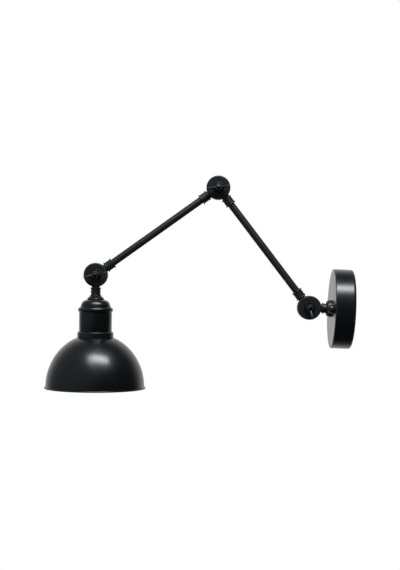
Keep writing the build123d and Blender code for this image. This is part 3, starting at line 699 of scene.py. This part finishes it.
# %% [markdown]
# ## Swivels
# Each swivel is two castings face to face. A casting is a thick disc with a rounded rim, and a
# collar with two thin lips on a short neck. The neck's foot runs into its own disc on one side, and
# on the other it is cut to a hollow that follows the other disc's rim. That cut is why the neck is a
# function of two numbers: where a point of its foot lies on the far side, its height follows
# sqrt(R^2 - x^2), the other disc's circle.

# %% Castings
DISC_R, RIM_ROUND = 18.2, 1.5
HALF_GAP, HALF_THICK = 0.5, 7.5
BOSS_R, CHAMBER_R, CHAMBER_DEPTH = 8.0, 13.6, 5.0
SCREW_HOLE_R, HEAD_SEAT_R, HEAD_SEAT = 3.05, 6.5, 3.0
NECK_R, NECK_START, COLLAR_START = 6.15, 15.5, 19.3
COLLAR_R, LIP_THICK = 7.3, 1.5
FOOT_ROWS, FOOT_EASE = 14, 0.9
SWEEP_R = DISC_R + 0.5


def casting_disc(has_head_seat):
    """Bored disc with a ring-shaped wire chamber in its mating face.

    Its outline's heights are distances from the swivel's middle plane.
    """
    outer = HALF_GAP + HALF_THICK
    floor = HALF_GAP + CHAMBER_DEPTH
    corners = [(SCREW_HOLE_R, HALF_GAP), (BOSS_R, HALF_GAP), (BOSS_R, floor), (CHAMBER_R, floor),
               (CHAMBER_R, HALF_GAP), (DISC_R, HALF_GAP), (DISC_R, outer)]
    radii = [0, 0.3, 0.8, 0.8, 0.3, 0.4, RIM_ROUND]
    if has_head_seat:
        corners += [(HEAD_SEAT_R, outer), (HEAD_SEAT_R, outer - HEAD_SEAT),
                    (SCREW_HOLE_R, outer - HEAD_SEAT)]
        radii += [0.4, 0.3, 0]
    else:
        corners += [(SCREW_HOLE_R, outer)]
        radii += [0.3]
    return turned(round_outline(corners, radii, steps=6), 128)


def casting_collar(socket_r, side):
    """Neck and two-lipped collar with a blind socket; side is where its own disc lies on Y.

    On the far side the foot's height is sqrt(R^2 - x^2), and within 1 mm it eases to the flat foot.
    """
    foot = rows_of(np.linspace(0, NECK_R, FOOT_ROWS), NECK_START)
    last = COLLAR_END - LIP_THICK
    rest = round_outline(
        [(NECK_R, NECK_START), (NECK_R, COLLAR_START), (LIP_R, COLLAR_START),
         (LIP_R, COLLAR_START + LIP_THICK), (COLLAR_R, COLLAR_START + LIP_THICK), (COLLAR_R, last),
         (LIP_R, last), (LIP_R, COLLAR_END),
         (socket_r, COLLAR_END), (socket_r, SOCKET_FLOOR), (0, SOCKET_FLOOR)],
        [0, 0.3, 0.5, 0.5, 0.25, 0.25, 0.5, 0.5, 0.2, 0, 0], steps=4)
    outline = np.concatenate([foot[:-1], rest])
    shell = turned(outline, 96)
    x, y, z = shell["points"].T
    is_foot = z <= NECK_START
    into_disc = np.clip(side * y - FOOT_EASE, 0, 1)
    hollow = np.sqrt(SWEEP_R ** 2 - x ** 2)
    shell["points"][:, 2] = np.where(is_foot, hollow + (NECK_START - hollow) * into_disc, z)
    return shell


def casting(node, pivot, heading, socket_r, side):
    """One half of a swivel; side is 1 at the back and -1 at the front."""
    shells = [placed(casting_disc(side > 0), hinge_frame(pivot, side)),
              placed(casting_collar(socket_r, side), member_frame(pivot, heading))]
    piece(node, shells, cast_paint)


NIPPLE_SOCKET, TUBE_SOCKET = 5.05, 5.55
casting("wall_knuckle_fixed", wall, 0.0, NIPPLE_SOCKET, 1)
casting("wall_knuckle_arm", wall, lower_heading, TUBE_SOCKET, -1)
casting("elbow_knuckle_upper", elbow, upper_heading, TUBE_SOCKET, 1)
casting("elbow_knuckle_lower", elbow, lower_heading + math.pi, TUBE_SOCKET, -1)
casting("head_knuckle_arm", head, upper_heading + math.pi, TUBE_SOCKET, 1)
casting("head_knuckle_holder", head, head_heading, NIPPLE_SOCKET, -1)

# %% [markdown]
# ## Wing nuts, washers and friction rings
# A wing nut is cast in one: a tapered hub with two leaves that lean outwards. A leaf is an outline
# drawn in toward its middle by a share s, and half its thickness is t * (1 - s^8)^(1/2), so its
# faces are flat and its rim is round. The thickness t swells towards the hub, as the fillet of a
# casting does.

# %% Wing nuts
WASHER_BORE, WASHER_R, WASHER_THICK = 3.2, 8.5, 1.6
RING_BORE, RING_R = 13.8, 17.45
HUB_BASE_R, HUB_TOP_R, HUB_HEIGHT = 6.4, 4.9, 8.0
WING_REACH, WING_HALF_THICK, WING_RISE = 18.0, 1.2, 13.0
WING_SWELL, WING_SWELL_FALL = 0.9, 2.2
LEAF_CORNERS = [(2.6, 0.9), (11.2, 2.9), (18.0, 7.3), (17.3, WING_RISE), (12.6, 12.3), (3.6, 7.2)]
LEAF_ROUNDS = [0.5, 5.0, 3.2, 2.6, 2.2, 0.5]
LEAF_MIDDLE = np.array([11.0, 7.4])
LEAF_ROWS, RIM_SHARE = 12, 0.9
WING_HEADINGS = {"wall": 105.2, "elbow": 9.7, "head": 15.5}
NUT_SEAT = HALF_GAP + HALF_THICK + WASHER_THICK


def leaf(side):
    """One wing as a closed shell round its middle, with a pole on each face.

    A point is middle + s (outline - middle), at a height of +-t (1 + swell) (1 - s^8)^(1/2).
    """
    line = round_outline(LEAF_CORNERS, LEAF_ROUNDS, steps=9)[:, :2]
    line[:, 0] *= WING_REACH / line[:, 0].max()
    line[:, 1] *= WING_RISE / line[:, 1].max()
    share = np.sin(np.linspace(0, math.pi / 2, LEAF_ROWS))
    share = np.concatenate([share, share[-2::-1]])
    face = np.concatenate([np.ones(LEAF_ROWS), -np.ones(LEAF_ROWS - 1)])
    flat = LEAF_MIDDLE + share[:, None, None] * (line - LEAF_MIDDLE)
    swell = 1 + WING_SWELL * np.exp(-np.clip(flat[..., 0] - HUB_TOP_R, 0, None) / WING_SWELL_FALL)
    thick = WING_HALF_THICK * swell * np.sqrt(1 - share ** 8)[:, None] * face[:, None]
    grid = np.stack([side * flat[..., 0], thick, flat[..., 1]], -1)
    edge = (share > RIM_SHARE).astype(float)
    return grid_shell(grid, edge, share, pole_first=True, pole_last=True)


def wing_nut():
    """Hub and two leaves, standing on the washer."""
    hub = round_outline([(SCREW_HOLE_R, 0), (HUB_BASE_R, 0), (HUB_BASE_R, 1.2), (HUB_TOP_R, HUB_HEIGHT),
                         (SCREW_HOLE_R, HUB_HEIGHT)], [0, 0.3, 0.8, 0.9, 0.3])
    return [turned(hub, 80), leaf(1), leaf(-1)]


def flat_ring(inner, outer, low, high, radii, around):
    """A washer or ring whose rectangular section has its corners rounded by the radii."""
    corners = [(inner, low), (outer, low), (outer, high), (inner, high)]
    return turned(round_outline(corners, radii), around)


washer = flat_ring(WASHER_BORE, WASHER_R, 0, WASHER_THICK, [0.1, 0.2, 0.45, 0.15], 96)
ring = flat_ring(RING_BORE, RING_R, -HALF_GAP, HALF_GAP, [0.1, 0.2, 0.2, 0.1], 128)
for name, pivot in swivels.items():
    front = hinge_frame(pivot, -1, math.radians(WING_HEADINGS[name]))
    nut_shells = [placed(shifted(shell, z=NUT_SEAT), front) for shell in wing_nut()]
    seated_washer = placed(shifted(washer, z=NUT_SEAT - WASHER_THICK), front)
    piece(f"{name}_wing_nut", nut_shells, nut_paint)
    piece(f"{name}_flat_washer", [seated_washer], black_steel)
    piece(f"{name}_friction_ring", [placed(ring, front)], fibre)

# %% [markdown]
# ## Threads
# A cut thread is a groove that climbs one pitch a turn, so the same turned grid carries it once its
# radius also depends on the angle: phase = height / pitch - angle / (2 pi). A triangle wave of the
# phase gives the sharp thread of a screw, and a cosine gives the round one that is rolled into the
# lamp socket's sheet brass. A bump map would look alike from afar, but not along the outline.

# %% Threads
def thread(pitch, depth, low, high, rolled=False, from_radius=0.0):
    """A relief that cuts in by depth * wave(phase), and runs out half a pitch from each end."""
    def relief(outline, angle):
        """The cut at each row and angle, as a negative number to add to the radius."""
        height = outline[:, 1][:, None]
        phase = height / pitch - angle / (2 * math.pi)
        wave = 0.5 - 0.5 * np.cos(2 * math.pi * phase) if rolled else np.abs(2 * (phase % 1) - 1)
        run_out = np.clip(2 * (height - low) / pitch, 0, 1) * np.clip(2 * (high - height) / pitch, 0, 1)
        return -depth * wave * run_out * (outline[:, :1] >= from_radius)
    return relief


def threaded_rod(radius, low, high, pitch, start, chamfer, around=40):
    """A round bar whose thread runs from the height start to its far end, which is domed.

    The dome is a quarter of an oval: (radius - chamfer) cos t across and chamfer sin t up.
    """
    t = np.radians(np.linspace(0, 90, 6))
    dome = rows_of((radius - chamfer) * np.cos(t), high - chamfer * (1 - np.sin(t)))
    dome[-1, 0] = 0
    outline = np.concatenate([[[0, low, 0], [radius - chamfer, low, 0], [radius, low + chamfer, 0]],
                              column(radius, start, high - 1.4 * chamfer, pitch / 8), dome])
    return turned(outline, around, thread(pitch, 0.6 * pitch, start, high + 0.2 * pitch))


# %% [markdown]
# Behind the plate a hollow threaded nipple carries the first swivel, and two studs carry the cap
# nuts. Their threads run nearly their whole length.

# %% Studs and nipple
M4_PITCH, M10_PITCH = 0.7, 1.0
STUD_R, NIPPLE_R, NIPPLE_BORE_R, NIPPLE_CHAMFER, NIPPLE_THREAD_DEPTH = 2.0, 5.0, 3.5, 0.4, 0.6

_, stud_low, stud_high = spans("fixing_studs", plate_frame)
stud = threaded_rod(STUD_R, stud_low, stud_high, M4_PITCH, stud_low + 0.4, 0.3, around=24)
piece("fixing_studs", at_studs(stud), zinc)

_, nipple_low, nipple_high = spans("canopy_nipple", plate_frame)
nipple_line = np.concatenate([
    [[NIPPLE_BORE_R, nipple_low, 0], [NIPPLE_R - NIPPLE_CHAMFER, nipple_low, 0]],
    column(NIPPLE_R, nipple_low + NIPPLE_CHAMFER, nipple_high, M10_PITCH / 8),
    [[NIPPLE_BORE_R, nipple_high, 0]]])
nipple_thread = thread(M10_PITCH, NIPPLE_THREAD_DEPTH, nipple_low - 1, nipple_high, from_radius=4.5)
piece("canopy_nipple", [placed(turned(nipple_line, 56, nipple_thread), plate_frame)], zinc)

# %% [markdown]
# The lamp screws into a shell of thin sheet brass, whose thread is rolled in. So the same round wave
# shows inside and outside, and the wall keeps its thickness.

# %% Screw shell
SOCKET_PITCH = 3.629
SHELL_R, SHELL_WALL, SHELL_FLOOR_HOLE, SHELL_DEPTH = 14.0, 0.6, 10.5, 1.1
_, shell_low, shell_high = spans("screw_shell", head_frame)
shell_line = np.concatenate([
    [[SHELL_FLOOR_HOLE, shell_low, 0], [SHELL_R - SHELL_WALL, shell_low, 0]],
    column(SHELL_R, shell_low + SHELL_WALL, shell_high, 0.3),
    column(SHELL_R - SHELL_WALL, shell_high, shell_low + SHELL_WALL, 0.3),
    [[SHELL_FLOOR_HOLE, shell_low + SHELL_WALL, 0]]])
rolled_in = thread(SOCKET_PITCH, SHELL_DEPTH, shell_low + 1.6, shell_high - 0.8, rolled=True,
                   from_radius=13.0)
piece("screw_shell", [placed(turned(shell_line, 96, rolled_in), head_frame)], brass)

# %% [markdown]
# The moulded socket has a coarse thread outside its mouth, for the ring that clamps the shade. Its
# outline goes up the outside in rows close enough to carry that thread, and back down the bore.

# %% Socket
SOCKET_R, SOCKET_BORE, SOCKET_CAVITY = 19.5, 14.1, 16.0
DECK, SEAT, WELL_R, WELL_FLOOR, RIVET_R, THREAD_FROM = 60.0, 68.0, 10.0, 65.7, 1.55, 91.0
OUTER_PITCH, OUTER_DEPTH, MOUTH_ROUND = 2.5, 0.9, 0.8
_, socket_top, socket_mouth = spans("socket_body", head_frame)
socket_line = np.concatenate([
    [[RIVET_R, DECK, 0], [SOCKET_CAVITY, DECK, 0], [SOCKET_CAVITY, socket_top, 0],
     [SOCKET_R, socket_top, 0], [SOCKET_R, THREAD_FROM - 0.3, 0]],
    column(SOCKET_R, THREAD_FROM, socket_mouth - MOUTH_ROUND, 0.25),
    arc_rows((SOCKET_R - MOUTH_ROUND, socket_mouth - MOUTH_ROUND), MOUTH_ROUND, 10, 90, 5),
    arc_rows((SOCKET_BORE + MOUTH_ROUND, socket_mouth - MOUTH_ROUND), MOUTH_ROUND, 90, 180, 6),
    [[SOCKET_BORE, SEAT, 0], [WELL_R, SEAT, 0], [WELL_R, WELL_FLOOR, 0], [RIVET_R, WELL_FLOOR, 0]]])
outside = thread(OUTER_PITCH, OUTER_DEPTH, THREAD_FROM, socket_mouth - 0.6, from_radius=19.0)
piece("socket_body", [placed(turned(socket_line, 128, outside), head_frame)], moulding)

# %% [markdown]
# ## Screw heads
# Each swivel's screw has a raised, slotted head behind. A slot has straight walls, which a turned
# grid can't follow, so the head is a stack of chords instead: at a place x across the slot, the
# chord's half length is sqrt(R^2 - x^2), and the top's height falls by rise * (r / R)^2. Two chords
# at each side of the slot, one high and one low, make its walls.

# %% Screw heads
M6_PITCH, SCREW_R, SCREW_TIP = 1.0, 3.0, 0.6
HEAD_R, HEAD_EDGE_RISE, HEAD_SLOT, HEAD_SLOT_DEPTH, HEAD_TURN = 6.4, 1.6, 1.2, 1.2, 35
CHORDS_A_SIDE, CHORD_POINTS, OUTER_CHORD = 16, 24, 0.98


def slotted_head(radius, low, top, rise, slot_width, slot_depth):
    """A closed slotted head from chords; columns run over the top, down, along the seat and up."""
    half = slot_width / 2
    outer = radius * np.sin(np.linspace(-0.5 * math.pi * OUTER_CHORD, -math.asin(half / radius),
                                        CHORDS_A_SIDE))
    x = np.concatenate([outer, [-half, half], -outer[::-1]])
    is_slot = np.zeros(len(x))
    is_slot[len(outer):len(outer) + 2] = 1
    chord = np.sqrt(radius ** 2 - x ** 2)[:, None]
    across = np.sin(np.linspace(-0.5 * math.pi, 0.5 * math.pi, CHORD_POINTS))
    y = chord * across
    over = top - rise * (x[:, None] ** 2 + y ** 2) / radius ** 2 - slot_depth * is_slot[:, None]
    under = np.full_like(over, low)
    grid = np.concatenate([np.stack([np.broadcast_to(x[:, None], y.shape), y, over], -1),
                           np.stack([np.broadcast_to(x[:, None], y.shape), y[:, ::-1], under], -1)], 1)
    ends = [np.broadcast_to([x[i], 0, (low + top - rise) / 2], (1, grid.shape[1], 3)) for i in (0, -1)]
    grid = np.concatenate([ends[0], grid, ends[1]])
    rows = np.zeros(len(grid))
    return grid_shell(grid, rows, rows, pole_first=True, pole_last=True)


for name, pivot in swivels.items():
    front = hinge_frame(pivot, -1)
    _, crown, tip = spans(f"{name}_pivot_screw", front)
    seat = HEAD_SEAT - HALF_GAP - HALF_THICK
    shank = threaded_rod(SCREW_R, seat - 0.5, tip, M6_PITCH, HALF_GAP + HALF_THICK, SCREW_TIP)
    slotted = slotted_head(HEAD_R, -seat, -crown, HEAD_EDGE_RISE, HEAD_SLOT, HEAD_SLOT_DEPTH)
    behind = hinge_frame(pivot, 1, math.radians(HEAD_TURN))
    piece(f"{name}_pivot_screw", [placed(shank, front), placed(slotted, behind)], black_steel)

# %% [markdown]
# ## Finishes of the other pieces
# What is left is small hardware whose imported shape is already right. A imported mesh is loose
# triangles, so a copy of it is merged before it can be shaded smooth, and its sharp edges are kept.

# %% Small hardware
MERGE_DISTANCE, HARD_EDGE_ANGLE = 0.000002, math.radians(28)


def merged_copy(node, material):
    """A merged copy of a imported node, smooth but for its edges, in place of the node."""
    mesh = frame["nodes"][node].data.copy()
    work = bmesh.new()
    work.from_mesh(mesh)
    bmesh.ops.remove_doubles(work, verts=work.verts, dist=MERGE_DISTANCE)
    work.to_mesh(mesh)
    work.free()
    mesh.materials.clear()
    mesh.materials.append(material)
    mesh.polygons.foreach_set("use_smooth", np.ones(len(mesh.polygons), bool))
    mesh.set_sharp_from_angle(angle=HARD_EDGE_ANGLE)
    stand_in(node, mesh)


finish_of_slot = {"plain_steel": zinc, "brass": brass, "moulding": moulding, "screw_paint": black_steel}
left = [node for node, item in frame["nodes"].items() if not item.hide_render]
for node in sorted(left):
    merged_copy(node, finish_of_slot[slot_of[node]])
print("merged copies:", len(left))

# %% [markdown]
# ## Studio
# The picture has a white backdrop behind the lamp, and a dark room in front of it with a dim grey
# side on the left. Black paint shows its surroundings more than its own colour, so the world has
# those same parts. A ray's light eases in with the cosine between its direction and the part's, by
# the smooth step 3t^2 - 2t^3. Panels of light would do it too, but they would show from other
# sides. The camera always sees white.

# %% World
scene = bpy.context.scene
scene.view_settings.view_transform = "Standard"
world = bpy.data.worlds.new("studio")
scene.world = world
world.use_nodes = True
tree = world.node_tree
background = tree.nodes["Background"]
direction = add_node(tree, "ShaderNodeTexCoord").outputs["Generated"]


def glow_towards(way, start, end, colour):
    """A light of the colour that eases in as the ray's direction turns towards the way."""
    share = add_node(tree, "ShaderNodeVectorMath", operation="DOT_PRODUCT")
    share.inputs[1].default_value = way
    ease = spread(tree, share.outputs["Value"], 0.0, 1.0, start, end, interpolation_type="SMOOTHSTEP")
    tinted = add_node(tree, "ShaderNodeVectorMath", operation="SCALE")
    tinted.inputs[0].default_value = colour
    link(tree, (direction, share.inputs[0]), (ease, tinted.inputs["Scale"]))
    return tinted.outputs["Vector"]


def sum_of(first, second):
    """Two lights together; the second may be a plain colour."""
    both = add_node(tree, "ShaderNodeVectorMath", operation="ADD")
    feed(tree, both.inputs[0], first)
    feed(tree, both.inputs[1], second)
    return both.outputs["Vector"]


BACKDROP = (0.97, 0.97, 0.96)
GREY_SIDE = (0.22, 0.255, 0.28)
DIM_ROOM = (0.022, 0.026, 0.028)
WHITE = (1, 1, 1, 1)
backdrop_glow = glow_towards((0.0, 1.0, 0.0), 0.32, 0.97, BACKDROP)
side_glow = glow_towards((-0.85, -0.30, 0.43), 0.0, 0.95, GREY_SIDE)
room_glow = sum_of(sum_of(backdrop_glow, side_glow), DIM_ROOM)
camera_ray = add_node(tree, "ShaderNodeLightPath").outputs["Is Camera Ray"]
link(tree, (mixed(tree, camera_ray, room_glow, WHITE), background.inputs["Color"]))
print("world: a backdrop, a grey side and a dim room")

# %% [markdown]
# One wide soft box high in front makes the bright patch on the shade and the streaks on the arms. It
# is an area lamp, since the patch keeps the lamp's oblong form, which a point lamp wouldn't give.
# The camera doesn't see it.

# %% Soft box
BOX_DISTANCE = 1.6
BOX_WIDTH, BOX_HEIGHT = 1.20, 0.46
BOX_POWER = 38.0
BOX_COLOUR = (0.88, 0.93, 1.0)
BOX_ELEVATION = math.radians(61)
BOX_ASIDE = math.radians(5.5)
LAMP_MIDDLE = np.array([-0.2, 0.0, 0.0])

box_data = bpy.data.lights.new("soft_box", "AREA")
box_data.shape = "RECTANGLE"
box_data.size, box_data.size_y = BOX_WIDTH, BOX_HEIGHT
box_data.energy = BOX_POWER
box_data.color = BOX_COLOUR
soft_box = bpy.data.objects.new("soft_box", box_data)
scene.collection.objects.link(soft_box)
away = np.array([math.sin(BOX_ASIDE) * math.cos(BOX_ELEVATION),
                 -math.cos(BOX_ASIDE) * math.cos(BOX_ELEVATION), math.sin(BOX_ELEVATION)])
right = np.array([math.cos(BOX_ASIDE), math.sin(BOX_ASIDE), 0.0])
box_at = LAMP_MIDDLE + away * BOX_DISTANCE
soft_box.matrix_world = Matrix(axes_frame(box_at, right, np.cross(away, right), away))
soft_box.visible_camera = False
print("soft box at", np.round(box_at, 2).tolist())

# %% [markdown]
# A pale round floor lies well below the lamp. It throws a little light up into the shade. A floor to
# the horizon would show its line from other sides, so this one fades to white at its rim: what the
# camera sees of it glows more the further it is from the middle.

# %% Floor
FLOOR_Z = -0.70
FLOOR_R, FLOOR_SIDES = 1.12, 96
FADE_START, FADE_END = 0.45, 0.97
rim_angle = np.linspace(0, 2 * math.pi, FLOOR_SIDES, endpoint=False)
floor_points = np.column_stack([LAMP_MIDDLE[0] + FLOOR_R * np.cos(rim_angle),
                                FLOOR_R * np.sin(rim_angle), np.full(FLOOR_SIDES, FLOOR_Z)])
floor_mesh = bpy.data.meshes.new("floor")
floor_mesh.from_pydata(floor_points.tolist(), [], [list(range(FLOOR_SIDES))])
floor = bpy.data.objects.new("floor", floor_mesh)
scene.collection.objects.link(floor)
floor.visible_glossy = False

floor_finish, tree, shader = new_material("pale_floor")
shader.inputs["Base Color"].default_value = (0.80, 0.80, 0.79, 1)
shader.inputs["Roughness"].default_value = 0.9
place = add_node(tree, "ShaderNodeTexCoord").outputs["Object"]
centred = add_node(tree, "ShaderNodeVectorMath", operation="DISTANCE")
centred.inputs[1].default_value = (LAMP_MIDDLE[0], 0, FLOOR_Z)
link(tree, (place, centred.inputs[0]))
fade = spread(tree, centred.outputs["Value"], 0.25, 1.0, FLOOR_R * FADE_START, FLOOR_R * FADE_END)
camera_ray = add_node(tree, "ShaderNodeLightPath").outputs["Is Camera Ray"]
link(tree, (times(tree, fade, camera_ray), shader.inputs["Emission Strength"]))
shader.inputs["Emission Color"].default_value = WHITE
floor_mesh.materials.append(floor_finish)
print("floor:", round(2 * FLOOR_R, 2), "m across")
